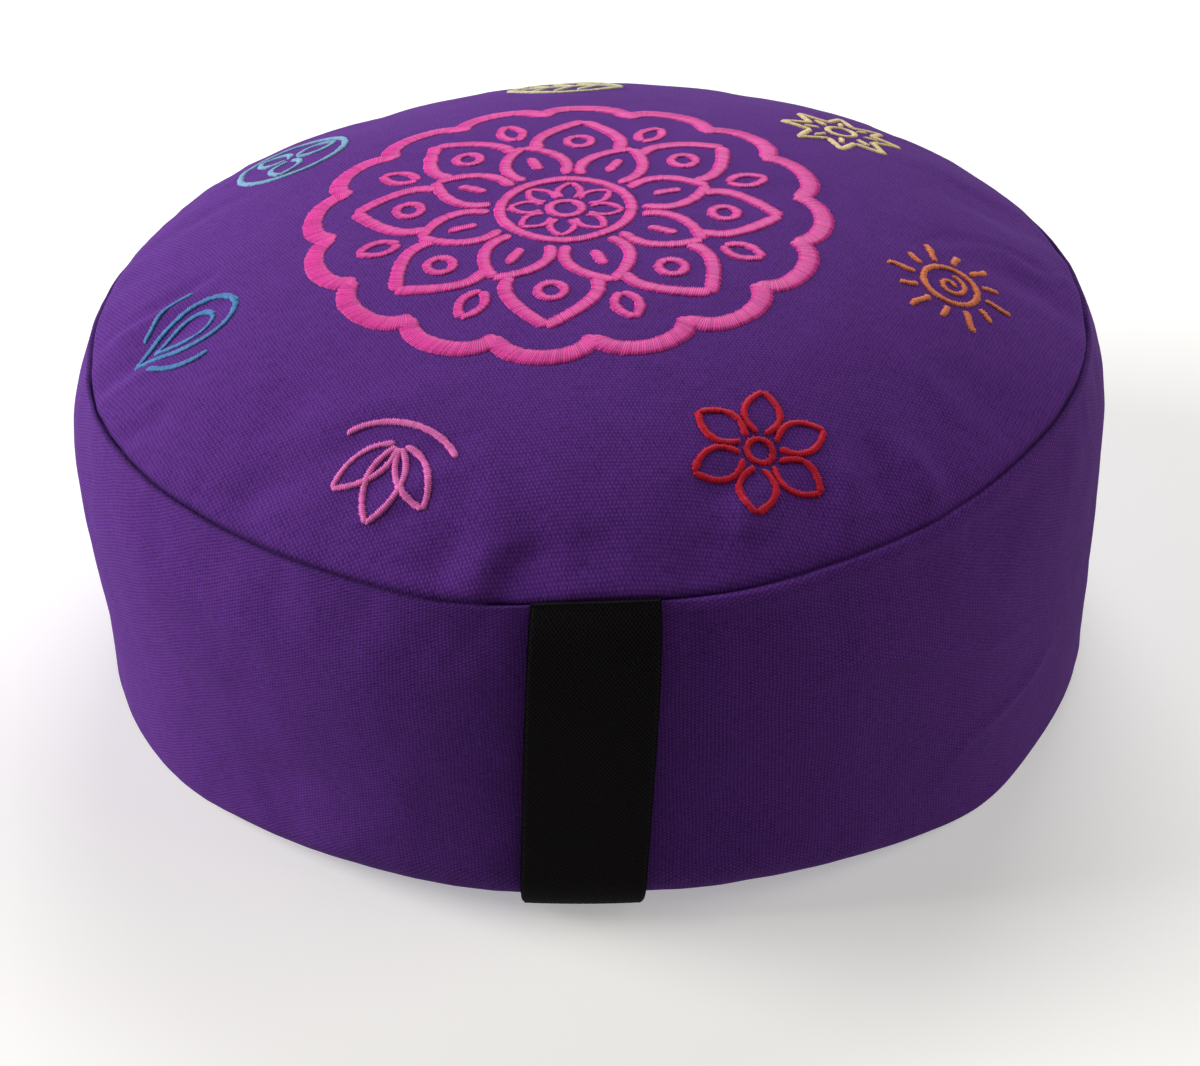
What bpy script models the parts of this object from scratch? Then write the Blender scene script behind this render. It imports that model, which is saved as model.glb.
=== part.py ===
"""Round meditation cushion (zafu) of purple cotton canvas with a black webbing handle.

Units are metres, +Z is up, and the origin is the middle of the base, on the floor.
The front of the cushion, where the handle is, faces -Y (azimuth 270 degrees from +X).

A maker cuts a round top panel, a straight side band, a round base panel and a length
of webbing. The two panels and the band are sewn into one skin and filled until the
top crowns, so the cushion is one filled solid. The webbing is the second piece: it is
caught in the top seam, lies down the side band and is caught again in the base seam.
"""

from collections import namedtuple
import math

import bmesh
import bpy
from mathutils import Vector

MM = 0.001

# Driving dimensions of the cushion
SEAM_RADIUS = 0.175        # where the top panel meets the side band
SEAM_HEIGHT = 0.1247
CROWN_RISE = 0.0440        # middle of the top panel above its seam
CROWN_POWER = 3.2          # higher is flatter in the middle and steeper at the rim
SWELL_SHARE = 0.32         # share of the wall in which it swells out to its full girth
SEAM_DEPTH = 0.0016        # how far the stitching pulls each seam into the filling
SEAM_WIDTH = 0.0030
FOOT_TURN = 60.0           # degrees that the wall turns under before the base seam

# Driving dimensions of the handle
STRAP_WIDTH = 0.040
STRAP_THICKNESS = 0.0018
STRAP_TOP_AZIMUTH = 269.8
STRAP_FOOT_AZIMUTH = 267.1
STRAP_LIFT = 0.0022        # slack of the webbing at the middle of the wall
FIT_GAP = 0.0003           # pieces that touch stay this far apart

# Fineness of the solids
ROUND_STEPS = 120
CROWN_STEPS = 13
WALL_STEPS = 11
FOOT_STEPS = 4
STRAP_STEPS_LONG = 26
STRAP_STEPS_WIDE = 6

# One row for each measured direction round the cushion. Columns, in millimetres:
# seam_out and seam_up move the top seam, wall_out is how far the filled band swells
# past the seam, foot_out is the foot of the wall against the seam, and edge_round is
# the radius with which the wall turns under at the floor.
Station = namedtuple("Station", "azimuth seam_out seam_up wall_out foot_out edge_round")
STATIONS = (
    Station(0, 0.3, 0.2, 9.5, 7.0, 8.0),
    Station(30, 2.2, 0.6, 8.0, 6.0, 10.0),
    Station(70, 1.2, 0.0, 7.0, 6.0, 12.0),
    Station(110, 1.3, 0.3, 7.0, 6.0, 12.0),
    Station(143, 2.3, 1.4, 8.0, 6.5, 10.0),
    Station(165, 0.6, 0.4, 9.5, 7.0, 8.0),
    Station(186, 0.0, 0.0, 10.0, 7.5, 6.0),
    Station(202, 0.6, 0.0, 7.5, 6.6, 5.0),
    Station(216, -0.9, -0.2, 8.0, 7.0, 6.0),
    Station(229, -2.6, -1.2, 8.0, 6.6, 12.0),
    Station(241, -1.2, -0.6, 6.5, 5.5, 18.0),
    Station(255, 1.4, -1.4, 5.0, 3.5, 21.0),
    Station(268, 0.4, 0.2, 4.5, 3.5, 21.0),
    Station(283, 1.2, -0.4, 5.0, 4.0, 20.0),
    Station(295, 0.0, 0.0, 6.5, 6.0, 16.0),
    Station(304, -0.5, 0.0, 7.5, 7.0, 9.0),
    Station(314, -1.6, 0.0, 8.5, 10.0, 4.0),
    Station(326, -2.0, -0.4, 8.0, 9.0, 4.5),
    Station(342, 0.2, 0.0, 6.5, 7.2, 6.0),
)

# Creases and hollows pressed into the top panel. azimuth and radius say where the
# middle is, along and across are its half lengths towards and round the rim.
Hollow = namedtuple("Hollow", "azimuth radius along across depth")
TOP_HOLLOWS = (
    Hollow(253.5, 0.160, 0.016, 0.0085, 3.2 * MM),
    Hollow(262.0, 0.164, 0.011, 0.0080, 1.6 * MM),
    Hollow(244.0, 0.162, 0.012, 0.0090, 1.6 * MM),
    Hollow(122.0, 0.128, 0.030, 0.0240, 1.6 * MM),
    Hollow(66.0, 0.110, 0.034, 0.0300, 1.6 * MM),
    Hollow(12.0, 0.150, 0.026, 0.0130, 2.2 * MM),
    Hollow(352.0, 0.152, 0.024, 0.0100, 1.8 * MM),
    Hollow(196.0, 0.150, 0.030, 0.0120, 1.4 * MM),
)


def smooth_step(value):
    """Ease from 0 to 1 with level ends."""
    value = min(max(value, 0.0), 1.0)
    return value * value * (3.0 - 2.0 * value)


def through_points(before, low, high, after, share):
    """Catmull-Rom value between low and high, so the rim has no flats or corners."""
    slope_low = (high - before) / 2.0
    slope_high = (after - low) / 2.0
    square = share * share
    cube = square * share
    start = low * (2.0 * cube - 3.0 * square + 1.0) + slope_low * (cube - 2.0 * square + share)
    end = high * (3.0 * square - 2.0 * cube) + slope_high * (cube - square)
    return start + end


def station_at(azimuth):
    """Blend the rows round an azimuth, in millimetres."""
    azimuth %= 360.0
    count = len(STATIONS)
    index = max(i for i, row in enumerate(STATIONS) if row.azimuth <= azimuth)
    near = [STATIONS[(index + step) % count] for step in (-1, 0, 1, 2)]
    width = (near[2].azimuth - near[1].azimuth) % 360.0
    share = (azimuth - near[1].azimuth) / width
    return Station(*(through_points(*column, share) for column in zip(*near)))


def hollow_depth(azimuth, radius):
    """Depth of every hollow of the top panel at one of its points."""
    depth = 0.0
    for hollow in TOP_HOLLOWS:
        turn = (azimuth - hollow.azimuth + 180.0) % 360.0 - 180.0
        round_rim = math.radians(turn) * radius / hollow.across
        to_rim = (radius - hollow.radius) / hollow.along
        depth += hollow.depth * math.exp(-round_rim ** 2 - to_rim ** 2)
    return depth


def crown_height(azimuth, share):
    """Height of the top panel, with share 0 in its middle and 1 at the seam."""
    row = station_at(azimuth)
    seam = SEAM_HEIGHT + row.seam_up * MM
    rise = SEAM_HEIGHT + CROWN_RISE - seam
    radius = (SEAM_RADIUS + row.seam_out * MM) * share
    return seam + rise * (1.0 - share ** CROWN_POWER) - hollow_depth(azimuth, radius)


def wall_radius(azimuth, share):
    """Radius of the side band, with share 0 at the top seam and 1 at the floor."""
    row = station_at(azimuth)
    seam = SEAM_RADIUS + row.seam_out * MM
    swell = row.wall_out * MM * math.sin(math.pi / 2.0 * min(share / SWELL_SHARE, 1.0))
    settle = (row.foot_out - row.wall_out) * MM * smooth_step((share - 0.30) / 0.55)
    return seam + swell + settle


def foot_profile(azimuth):
    """Radius and height of the turned-under foot, the base seam and the flat base."""
    row = station_at(azimuth)
    turn = row.edge_round * MM
    foot = wall_radius(azimuth, 1.0)
    points = []
    for step in range(FOOT_STEPS):
        angle = math.radians(FOOT_TURN * step / (FOOT_STEPS - 1))
        out = foot - turn * (1.0 - math.cos(angle))
        points.append((out, turn * (1.0 - math.sin(angle))))
    seam, low = points[-1]
    points.append((seam - SEAM_DEPTH * 0.8, low + 0.0002))
    points.append((seam - SEAM_DEPTH - SEAM_WIDTH, 0.0))
    points.append((seam * 0.6, 0.0))
    points.append((0.0, 0.0))
    return points


def section(azimuth):
    """Half section of the filled cushion in one direction, from the top down."""
    row = station_at(azimuth)
    seam_radius = SEAM_RADIUS + row.seam_out * MM
    seam_height = SEAM_HEIGHT + row.seam_up * MM
    points = []
    for step in range(CROWN_STEPS):
        share = (step / CROWN_STEPS) ** 0.8 * (1.0 - SEAM_WIDTH / SEAM_RADIUS)
        points.append((seam_radius * share, crown_height(azimuth, share)))
    lip = 1.0 - SEAM_WIDTH / SEAM_RADIUS
    points.append((seam_radius * lip, crown_height(azimuth, lip)))
    points.append((seam_radius - SEAM_DEPTH, seam_height - 0.2 * MM))
    foot_height = row.edge_round * MM
    for step in range(WALL_STEPS):
        share = (step + 0.35) / WALL_STEPS
        share = share ** 1.25
        height = seam_height + (foot_height - seam_height) * share
        drawn_in = SEAM_DEPTH * math.exp(-((seam_height - height) / 0.0035) ** 2)
        points.append((wall_radius(azimuth, share) - drawn_in, height))
    points.extend(foot_profile(azimuth))
    return points


def named_material(name, colour, roughness):
    """A Principled material in one colour."""
    material = bpy.data.materials.new(name)
    material.use_nodes = True
    shader = material.node_tree.nodes["Principled BSDF"]
    shader.inputs["Base Color"].default_value = (*colour, 1.0)
    shader.inputs["Roughness"].default_value = roughness
    shader.inputs["Metallic"].default_value = 0.0
    return material


def finished_object(name, mesh, material, collection):
    """Link a mesh as a named object with its material and smooth shading."""
    mesh.materials.clear()
    mesh.materials.append(material)
    mesh.shade_smooth()
    mesh.set_sharp_from_angle(angle=math.radians(40.0))
    item = bpy.data.objects.new(name, mesh)
    collection.objects.link(item)
    return item


def turned_mesh(profile, name):
    """Turn a profile in the XZ plane about Z with a Screw modifier."""
    outline = bpy.data.meshes.new(name)
    points = [(radius, 0.0, height) for radius, height in profile]
    edges = [(index, index + 1) for index in range(len(points) - 1)]
    outline.from_pydata(points, edges, [])
    item = bpy.data.objects.new(name, outline)
    bpy.context.collection.objects.link(item)
    screw = item.modifiers.new("Turn", "SCREW")
    screw.axis = "Z"
    screw.steps = ROUND_STEPS
    screw.render_steps = ROUND_STEPS
    screw.use_merge_vertices = True
    screw.merge_threshold = 0.00005
    bpy.context.view_layer.update()
    depsgraph = bpy.context.evaluated_depsgraph_get()
    mesh = bpy.data.meshes.new_from_object(item.evaluated_get(depsgraph))
    bpy.data.objects.remove(item)
    bpy.data.meshes.remove(outline)
    return mesh


def make_cushion(collection):
    """Turn an even blank, then move each ring of points to its own direction's section."""
    count = len(section(0.0))
    blank = [(0.1 * math.sin(math.pi * i / (count - 1)), 1.0 - i) for i in range(count)]
    blank[0] = (0.0, blank[0][1])
    blank[-1] = (0.0, blank[-1][1])
    mesh = turned_mesh(blank, "cushion_blank")
    for vertex in mesh.vertices:
        ring = round(1.0 - vertex.co.z)
        azimuth = math.degrees(math.atan2(vertex.co.y, vertex.co.x)) % 360.0
        radius, height = section(azimuth)[ring]
        angle = math.radians(azimuth)
        vertex.co = (radius * math.cos(angle), radius * math.sin(angle), height)
    canvas = named_material("cotton_canvas", (0.105, 0.024, 0.235), 0.88)
    return finished_object("cushion", mesh, canvas, collection)


def strap_line(azimuth):
    """Points of the handle's inner face down one direction, at even spacing."""
    profile = [Vector((r, 0.0, z)) for r, z in section(azimuth)]
    first = CROWN_STEPS + 2
    last = len(profile) - 4
    wall = profile[first:last]
    lengths = [0.0]
    for low, high in zip(wall, wall[1:]):
        lengths.append(lengths[-1] + (high - low).length)
    line = []
    for step in range(STRAP_STEPS_LONG + 1):
        share = step / STRAP_STEPS_LONG
        target = lengths[-1] * share
        index = 0
        while index < len(lengths) - 2 and lengths[index + 1] < target:
            index += 1
        part = (target - lengths[index]) / (lengths[index + 1] - lengths[index])
        point = wall[index].lerp(wall[index + 1], part)
        along = (wall[index + 1] - wall[index]).normalized()
        outward = Vector((-along.z, 0.0, along.x))
        lift = FIT_GAP + 0.0004 + STRAP_LIFT * math.sin(math.pi * share) ** 0.8
        line.append(point + outward * lift)
    return line


def make_strap(collection):
    """Bend a flat strip round the side band and thicken it outwards."""
    grid = bmesh.new()
    bmesh.ops.create_grid(
        grid,
        x_segments=STRAP_STEPS_WIDE,
        y_segments=STRAP_STEPS_LONG,
        size=0.5,
    )
    for vertex in grid.verts:
        across = vertex.co.x
        down = round((0.5 - vertex.co.y) * STRAP_STEPS_LONG)
        share = down / STRAP_STEPS_LONG
        middle = STRAP_TOP_AZIMUTH + (STRAP_FOOT_AZIMUTH - STRAP_TOP_AZIMUTH) * share
        half_turn = math.degrees(STRAP_WIDTH / (SEAM_RADIUS + 0.006))
        azimuth = middle + across * half_turn
        point = strap_line(azimuth)[down]
        angle = math.radians(azimuth)
        vertex.co = (point.x * math.cos(angle), point.x * math.sin(angle), point.z)
    bmesh.ops.recalc_face_normals(grid, faces=grid.faces)
    mesh = bpy.data.meshes.new("handle_strap")
    grid.to_mesh(mesh)
    grid.free()
    webbing = named_material("black_webbing", (0.012, 0.011, 0.013), 0.8)
    strap = finished_object("handle_strap", mesh, webbing, collection)
    thicken = strap.modifiers.new("Webbing", "SOLIDIFY")
    thicken.thickness = STRAP_THICKNESS
    thicken.offset = 1.0
    return strap


def main():
    """Build the cushion and its handle in a collection of their own."""
    for item in list(bpy.data.objects):
        bpy.data.objects.remove(item)
    collection = bpy.data.collections.new("meditation_cushion")
    bpy.context.scene.collection.children.link(collection)
    make_cushion(collection)
    make_strap(collection)


main()
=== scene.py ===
# %% [markdown]
# # Dressing a round meditation cushion
# The solids come from the CAD source: one filled cushion and one webbing handle. This
# file keeps their sizes and adds what a sewing room adds, which is the cloth with its
# seams and folds, the embroidery, the woven handle and the finishes. Lengths are in
# metres, and a name that ends in _mm holds millimetres.

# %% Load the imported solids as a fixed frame
import math

import bpy
import numpy as np
from mathutils import Matrix, Vector, noise
from mathutils.bvhtree import BVHTree
from mathutils.kdtree import KDTree


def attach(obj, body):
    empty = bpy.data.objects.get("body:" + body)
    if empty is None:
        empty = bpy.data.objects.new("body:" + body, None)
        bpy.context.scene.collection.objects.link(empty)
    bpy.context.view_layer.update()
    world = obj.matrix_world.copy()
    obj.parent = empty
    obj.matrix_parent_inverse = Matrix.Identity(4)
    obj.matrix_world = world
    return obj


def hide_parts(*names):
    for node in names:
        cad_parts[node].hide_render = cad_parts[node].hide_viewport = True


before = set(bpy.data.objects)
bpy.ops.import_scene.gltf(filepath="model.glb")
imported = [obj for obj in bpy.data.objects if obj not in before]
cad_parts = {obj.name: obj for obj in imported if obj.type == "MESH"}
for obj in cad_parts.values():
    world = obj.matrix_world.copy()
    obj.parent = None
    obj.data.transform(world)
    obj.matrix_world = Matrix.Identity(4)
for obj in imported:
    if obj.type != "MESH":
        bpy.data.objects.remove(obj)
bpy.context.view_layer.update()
MM = 0.001
print("solids:", sorted(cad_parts))

# %% [markdown]
# ## The camera
# A long lens from about 0.9 m, looking down on the cushion at 35 degrees. The direction
# and the lean were worked out from the outline of the cushion. A picture alone doesn't
# fix how far away its camera stood, so the distance is chosen and the lens goes with it.
# The picture leans by two degrees, which is a turn about the line of sight.

# %% Set the camera
lens = bpy.data.cameras.new("product_lens")
lens.sensor_width = 36.0
lens.lens = 71.85
camera = bpy.data.objects.new("product_camera", lens)
bpy.context.scene.collection.objects.link(camera)
sight = Vector((0.00189, 0.82112, -0.57076))
lean = Matrix.Rotation(math.radians(-2.01), 3, "Z")
camera.matrix_world = Matrix.Translation((0.0, -0.7410, 0.5431)) @ (
    sight.to_track_quat("-Z", "Y").to_matrix() @ lean
).to_4x4()
bpy.context.scene.camera = camera
print("camera looks down by", round(math.degrees(math.asin(-sight.z)), 1), "degrees")

# %% [markdown]
# ## The shape of the cushion
# The solid's own table of directions is repeated here, so that the cloth lies where the
# solid is. Each row gives, in one direction round the cushion, where the top seam sits
# and how far the band swells. Between rows a Catmull-Rom curve keeps the rim round.

# %% Repeat the solid's driving sizes
SEAM_RADIUS = 0.175
SEAM_HEIGHT = 0.1247
CROWN_RISE = 0.0440
CROWN_POWER = 3.2
SWELL_SHARE = 0.32
FOOT_TURN = math.radians(60.0)
# azimuth in degrees, then seam out, seam up, wall out, foot out and edge round in mm
STATIONS_MM = np.array((
    (0, 0.3, 0.2, 9.5, 7.0, 8.0), (30, 2.2, 0.6, 8.0, 6.0, 10.0),
    (70, 1.2, 0.0, 7.0, 6.0, 12.0), (110, 1.3, 0.3, 7.0, 6.0, 12.0),
    (143, 2.3, 1.4, 8.0, 6.5, 10.0), (165, 0.6, 0.4, 9.5, 7.0, 8.0),
    (186, 0.0, 0.0, 10.0, 7.5, 6.0), (202, 0.6, 0.0, 7.5, 6.6, 5.0),
    (216, -0.9, -0.2, 8.0, 7.0, 6.0), (229, -2.6, -1.2, 8.0, 6.6, 12.0),
    (241, -1.2, -0.6, 6.5, 5.5, 18.0), (255, 1.4, -1.4, 5.0, 3.5, 21.0),
    (268, 0.4, 0.2, 4.5, 3.5, 21.0), (283, 1.2, -0.4, 5.0, 4.0, 20.0),
    (295, 0.0, 0.0, 6.5, 6.0, 16.0), (304, -0.5, 0.0, 7.5, 7.0, 9.0),
    (314, -1.6, 0.0, 8.5, 10.0, 4.0), (326, -2.0, -0.4, 8.0, 9.0, 4.5),
    (342, 0.2, 0.0, 6.5, 7.2, 6.0),
))


def smooth_step(value):
    """Ease from 0 to 1 with level ends."""
    value = np.clip(value, 0.0, 1.0)
    return value * value * (3.0 - 2.0 * value)


def stations(degrees):
    """The table's five columns at many directions, in metres."""
    degrees = np.asarray(degrees, float) % 360.0
    starts = STATIONS_MM[:, 0]
    count = len(starts)
    row = np.searchsorted(starts, degrees, side="right") - 1
    before, low, high, after = (STATIONS_MM[(row + step) % count] for step in (-1, 0, 1, 2))
    share = ((degrees - low[:, 0]) / ((high[:, 0] - low[:, 0]) % 360.0))[:, None]
    leave, arrive = (high - before) / 2.0, (after - low) / 2.0
    square, cube = share**2, share**3
    value = low * (2 * cube - 3 * square + 1) + leave * (cube - 2 * square + share)
    value += high * (3 * square - 2 * cube) + arrive * (cube - square)
    return (value[:, 1:] * MM).T


print("seam radius at the handle:", round(SEAM_RADIUS + stations([270.0])[0][0], 4), "m")

# %% [markdown]
# The top panel also has broad, shallow hollows, where the filling has settled. They lie
# where the solid has them: a place, a length towards the rim, a length round it and a
# depth. The solid's three hollows beside the handle are left out here, because the
# creases that are pressed into the cloth later take their place.

# %% Work out the height of the top panel
# azimuth in degrees, then radius, half length towards the rim, half length round it, depth
HOLLOWS_MM = (
    (122.0, 128.0, 30.0, 24.0, 1.6), (66.0, 110.0, 34.0, 30.0, 1.6),
    (12.0, 150.0, 26.0, 13.0, 2.2), (352.0, 152.0, 24.0, 10.0, 1.8),
    (196.0, 150.0, 30.0, 12.0, 1.4),
)


def hollow_depth(degrees, radius):
    """How deep the settled hollows are at points of the top panel."""
    depth = 0.0
    for azimuth, middle, along, across, deep in HOLLOWS_MM:
        turn = (degrees - azimuth + 180.0) % 360.0 - 180.0
        round_rim = np.radians(turn) * radius / (across * MM)
        to_rim = (radius - middle * MM) / (along * MM)
        depth = depth + deep * MM * np.exp(-(round_rim**2) - to_rim**2)
    return depth


def crown_points(degrees, share):
    """Points of the top panel, share 0 in the middle and 1 at the seam."""
    seam_out, seam_up = stations(degrees)[:2]
    radius = (SEAM_RADIUS + seam_out) * share
    seam = SEAM_HEIGHT + seam_up
    rise = SEAM_HEIGHT + CROWN_RISE - seam
    height = seam + rise * (1.0 - share**CROWN_POWER) - hollow_depth(degrees, radius)
    return radius, height


def wall_points(degrees, share):
    """Points of the side band, share 0 at the top seam and 1 where the foot turns under."""
    seam_out, seam_up, wall_out, foot_out, turn = stations(degrees)
    swell = wall_out * np.sin(math.pi / 2 * np.minimum(share / SWELL_SHARE, 1.0))
    settle = (foot_out - wall_out) * smooth_step((share - 0.30) / 0.55)
    seam = SEAM_HEIGHT + seam_up
    return SEAM_RADIUS + seam_out + swell + settle, seam + (turn - seam) * share


def foot_points(degrees, share):
    """Points of the turned-under foot, share 0 at the wall and 1 at the base seam."""
    radius, turn = wall_points(degrees, np.ones_like(degrees))
    angle = FOOT_TURN * share
    return radius - turn * (1.0 - np.cos(angle)), turn * (1.0 - np.sin(angle))


print("crown:", round(float(crown_points(np.zeros(1), np.zeros(1))[1][0]) * 1000, 1), "mm high")

# %% [markdown]
# ## One mesh for the whole skin
# A disc made of wedges has a pinched middle, which shows in cloth. Here the middle of
# each round panel is a square grid bent into a disc, and only the outer part is rings.
# The rings crowd together at the seams, where the cloth bends most. The same 240
# directions run through both panels and the band, so all faces are four-sided.

# %% Bend a square grid into a disc
GRID = 60
ROUND = 4 * GRID


def disc_grid(steps):
    """Points of a square grid bent to the unit disc, and the order of its rim points."""
    line = np.linspace(-1.0, 1.0, steps + 1)
    u, v = (part.ravel() for part in np.meshgrid(line, line, indexing="ij"))
    radius = np.maximum(np.abs(u), np.abs(v))
    wide = np.abs(u) >= np.abs(v)
    near = np.where(radius == 0.0, 1.0, np.where(wide, u, v))
    angle = np.where(wide, v / near, 2.0 - u / near) * math.pi / 4
    angle += np.where(near < 0.0, math.pi, 0.0)
    index = np.arange((steps + 1) ** 2).reshape(steps + 1, steps + 1)
    rim = np.concatenate((index[-1, :-1], index[:0:-1, -1], index[0, :0:-1], index[:-1, 0]))
    return radius, np.degrees(angle), index, rim


grid_radius, grid_degrees, grid_index, grid_rim = disc_grid(GRID)
ring_degrees = -45.0 + np.arange(ROUND) * 360.0 / ROUND
print("disc grid:", len(grid_radius), "points,", len(grid_rim), "on its rim")

# %% [markdown]
# Every point also keeps its distance from the top seam, measured down the cloth, as a
# sewer would measure it: below zero on the top panel and above zero on the band. The
# folds and the seam groove are placed with it later.

# %% Lay out the rings of the skin
INNER_SHARE = 0.70
crown_in_mm = np.array((46, 40, 34, 28.5, 23.5, 19, 15, 11.5, 8.5, 6.2, 4.4, 3.0, 1.9, 1.0, 0.35))
crown_shares = 1.0 - crown_in_mm / 175.0
wall_mm = np.concatenate(((0.35, 1.1, 2.1, 3.4, 5.0, 7.2, 9.8, 12.8), np.linspace(16.2, 102.5, 24)))
wall_shares = np.concatenate((wall_mm / 112.0, (0.955, 1.0)))
foot_shares = np.array((0.2, 0.4, 0.6, 0.8, 1.0))
base_in_mm = np.array((1.6, 3.6, 7.0, 12.0, 19.0))


def at_height(degrees, radius, height):
    """Cartesian points from a direction, a radius and a height."""
    turn = np.radians(degrees)
    return np.stack((radius * np.cos(turn), radius * np.sin(turn), height + 0.0 * turn), 1)


def skin_rings():
    """All rings from the top panel to the base, each as 240 points."""
    full = np.ones(ROUND)
    rings = [crown_points(ring_degrees, full * share) for share in crown_shares]
    rings += [wall_points(ring_degrees, full * share) for share in wall_shares]
    rings += [foot_points(ring_degrees, full * share) for share in foot_shares]
    seam, low = foot_points(ring_degrees, full)
    for step_in in base_in_mm * MM:
        settle = np.exp(-(step_in / (2.2 * MM)) ** 2)
        rings.append((seam - step_in, 0.0004 + (low - 0.0004) * settle * 0.5))
    return [at_height(ring_degrees, radius, height) for radius, height in rings]


rings = skin_rings()
top_grid = at_height(grid_degrees, *crown_points(grid_degrees, grid_radius * INNER_SHARE))
base_reach = np.linalg.norm(rings[-1][:, :2], axis=1)
base_scale = np.interp(grid_degrees % 360.0, np.sort(ring_degrees % 360.0),
                       base_reach[np.argsort(ring_degrees % 360.0)], period=360.0)
base_grid = at_height(grid_degrees, base_scale * 0.93 * grid_radius, np.full(len(grid_radius), 0.0004))
print("rings:", len(rings), " base reaches", round(float(base_reach.max()), 4), "m")

# %% [markdown]
# The faces follow the points: the grid of the top panel, the bands between one ring and
# the next, and the grid of the base, turned over so that all faces look outwards.

# %% Join the points with faces


def grid_faces(index, turned=False):
    """Four-sided faces of a grid of point numbers."""
    corners = (index[:-1, :-1], index[1:, :-1], index[1:, 1:], index[:-1, 1:])
    faces = np.stack([corner.ravel() for corner in corners], 1)
    return faces[:, ::-1] if turned else faces


def band_faces(first, second):
    """Four-sided faces between two closed rows of points."""
    return np.stack((first, second, np.roll(second, -1), np.roll(first, -1)), 1)


top_count = len(grid_radius)
ring_rows = top_count + np.arange(len(rings) * ROUND).reshape(len(rings), ROUND)
base_start = top_count + ring_rows.size
loops = [grid_rim, *ring_rows, base_start + grid_rim]
skin_points = np.concatenate((top_grid, *rings, base_grid))
skin_faces = np.concatenate((
    grid_faces(grid_index),
    *(band_faces(first, second) for first, second in zip(loops, loops[1:])),
    grid_faces(base_start + grid_index, turned=True),
))
skin_girth = np.zeros(len(skin_points))
section = np.concatenate(([top_grid[grid_rim]], rings), 0)
steps = np.linalg.norm(np.diff(section, axis=0), axis=2).mean(1)
girths = np.concatenate(([0.0], np.cumsum(steps)))
first_wall = len(crown_shares) + 1
girths -= girths[first_wall] - 0.35 * MM
base_seam = girths[first_wall + len(wall_shares) + len(foot_shares) - 1]
skin_girth[:top_count] = girths[0] - (1.0 - grid_radius) * INNER_SHARE * SEAM_RADIUS
skin_girth[ring_rows.ravel()] = np.repeat(girths[1:], ROUND)
skin_girth[base_start:] = girths[-1] + 0.01
print("skin:", len(skin_points), "points,", len(skin_faces), "faces, girth to the floor",
      round(float(girths[first_wall + len(wall_shares)]), 4), "m")

# %% [markdown]
# The weave needs cloth coordinates in real millimetres, so that a thread is as wide on
# the band as on the top. A named UV map holds them: the plan for the round panels, and
# the length round the rim by the length down the cloth for the band. The round panels
# were cut a quarter turn from the band, so their warp runs across the picture.

# %% Make the mesh of the skin


def mesh_object(name, points, faces):
    """A smooth shaded mesh object in the scene."""
    mesh = bpy.data.meshes.new(name)
    mesh.from_pydata([tuple(p) for p in points], [], [tuple(int(i) for i in face) for face in faces])
    mesh.shade_smooth()
    piece = bpy.data.objects.new(name, mesh)
    bpy.context.scene.collection.objects.link(piece)
    return piece


def cloth_uv(points, faces, girth):
    """Cloth coordinates of every face corner, in millimetres."""
    centre = points[faces].mean(1)
    inside = girth[faces].mean(1)
    middle = np.degrees(np.arctan2(centre[:, 1], centre[:, 0]))[:, None]
    degrees = np.degrees(np.arctan2(points[faces][..., 1], points[faces][..., 0]))
    degrees = middle + (degrees - middle + 180.0) % 360.0 - 180.0
    band = np.stack((np.radians(degrees) * 180.0, girth[faces] * 1000.0), -1)
    plan = points[faces][..., 1::-1] * 1000.0 + (0.0, 900.0)
    on_band = (inside > 0.0) & (inside < base_seam)
    return np.where(on_band[:, None, None], band, plan)


cushion = mesh_object("cushion_cover", skin_points, skin_faces)
uv_layer = cushion.data.uv_layers.new(name="cloth_mm")
uv_layer.data.foreach_set("uv", cloth_uv(skin_points, skin_faces, skin_girth).ravel())
girth_layer = cushion.data.attributes.new("girth", "FLOAT", "POINT")
girth_layer.data.foreach_set("value", skin_girth)
print("cushion cover mesh:", len(cushion.data.polygons), "faces")

# %% [markdown]
# ## The filling presses on the cover
# A cover is cut a little larger than the shape that it settles to, and its filling presses
# it out between the seams. A cloth simulation shows what that does: short puckers that
# start at a seam and fade. It runs on a copy with even 5 mm faces, which starts 1.5 mm
# inside the final shape, with the seams held, 2 per cent of spare cloth and no gravity.

# %% Simulate the filled cover


def read_points(mesh):
    """Vertex positions of a mesh as an array."""
    values = np.empty(len(mesh.vertices) * 3, np.float32)
    mesh.vertices.foreach_get("co", values)
    return values.reshape(-1, 3).astype(float)


def write_points(mesh, points):
    """Put an array of positions back on a mesh."""
    mesh.vertices.foreach_set("co", np.asarray(points, np.float32).ravel())
    mesh.update()


def outward(mesh):
    """Vertex normals of a mesh as an array."""
    values = np.empty(len(mesh.vertices) * 3, np.float32)
    mesh.vertex_normals.foreach_get("vector", values)
    return values.reshape(-1, 3).astype(float)


def apply_modifiers(piece):
    """Replace a piece's mesh by the result of its modifiers."""
    shown = piece.evaluated_get(bpy.context.evaluated_depsgraph_get())
    finished = bpy.data.meshes.new_from_object(shown)
    piece.modifiers.clear()
    piece.data = finished


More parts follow.
